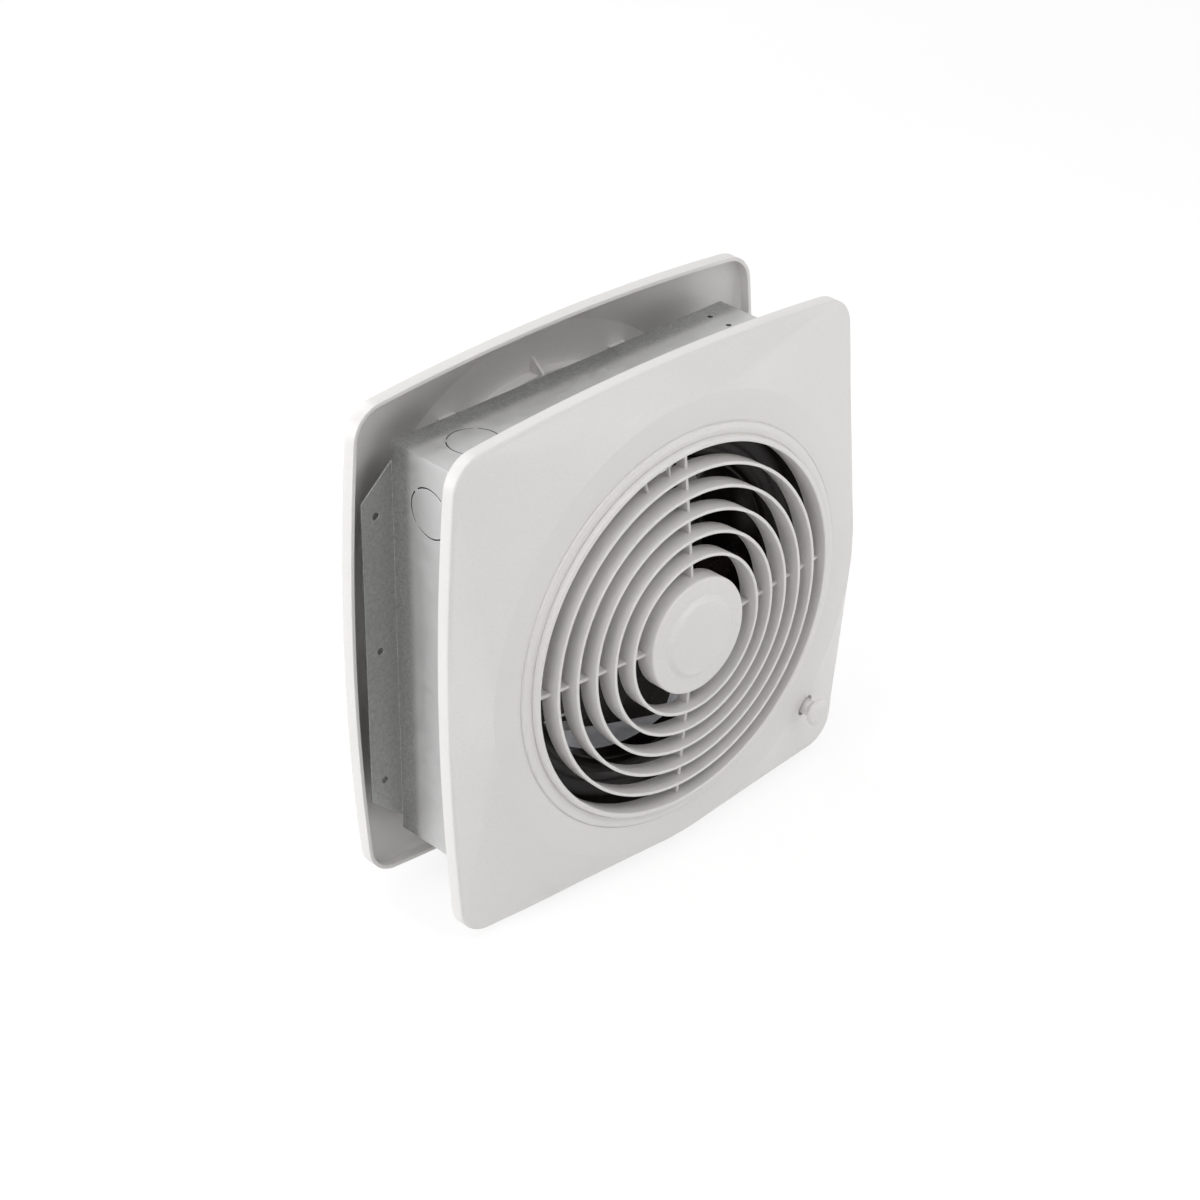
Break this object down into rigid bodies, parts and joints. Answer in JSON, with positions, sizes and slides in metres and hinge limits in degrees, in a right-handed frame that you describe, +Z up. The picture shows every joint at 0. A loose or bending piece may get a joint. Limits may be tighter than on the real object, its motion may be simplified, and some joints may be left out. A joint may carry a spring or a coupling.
{
  "type": "room-to-room fan",
  "caption": "Square through-wall fan: steel housing with mounting flanges, white ring grille on both sides of the wall, propeller on a shaded-pole motor and a speed knob.",
  "frame": {"origin": "on the fan's axis, in the wall face that the mounting flanges screw against", "axes": "+X to the right seen from the knob's side, +Y towards the rear room, +Z up"},
  "size_m": [0.286, 0.142, 0.286],
  "materials": {
    "white_plastic": "satin, lightly grained",
    "galvanised_steel": "zinc coated, dull, faint spangle",
    "plated_screw": "zinc plated",
    "black_plastic": "glossy",
    "blade_plastic": "glossy",
    "label_paper": "coated, bare",
    "shaft_steel": "ground",
    "rotor_iron": "machined",
    "lamination_steel": "stacked sheets, oiled",
    "copper": "bare wire",
    "coil_tape": "film tape over the winding",
    "nylon": "satin",
    "die_cast": "as cast",
    "bronze": "sintered",
    "fibre": "pressed fibre",
    "green_screw": "dyed zinc plate",
    "lead_pvc": "satin sheath",
    "control_plastic": "moulded"
  },
  "bodies": {
    "case": {"front_grille": "white_plastic", "rear_grille": "white_plastic", "housing_top": "galvanised_steel", "housing_bottom": "galvanised_steel", "housing_left": "galvanised_steel", "housing_right": "galvanised_steel", "orifice_duct": "black_plastic", "orifice_screws": "plated_screw", "duct_label": "label_paper", "stator_core": "lamination_steel", "shading_rings": "copper", "coil_bobbin": "nylon", "coil_winding": "coil_tape", "front_bearing_bracket": "die_cast", "rear_bearing_bracket": "die_cast", "front_bearing": "bronze", "rear_bearing": "bronze", "motor_screws": "plated_screw", "motor_nuts": "plated_screw", "motor_strap": "galvanised_steel", "wiring_cover": "galvanised_steel", "wiring_cover_screw": "plated_screw", "ground_screw": "green_screw", "motor_socket": "nylon", "motor_plug": "nylon", "motor_lead": "lead_pvc", "control_case": "control_plastic", "control_bushing": "plated_screw", "control_nut": "plated_screw", "control_lead": "lead_pvc", "lead_clips": "nylon"},
    "rotor": {"propeller": "blade_plastic", "hub_clamp": "plated_screw", "motor_shaft": "shaft_steel", "rotor_core": "rotor_iron", "thrust_washers": "fibre"},
    "knob": {"control_shaft": "shaft_steel", "speed_knob": "white_plastic"}
  },
  "joints": [
    {"name": "fan_spin", "type": "hinge", "parent": "case", "child": "rotor", "pos_m": [0, -0.03, 0], "axis": [0, 1, 0], "continuous": true},
    {"name": "knob_turn", "type": "hinge", "parent": "case", "child": "knob", "pos_m": [0.0995, -0.085, -0.093], "axis": [0, 1, 0], "range_deg": [0, 280]}
  ]
}
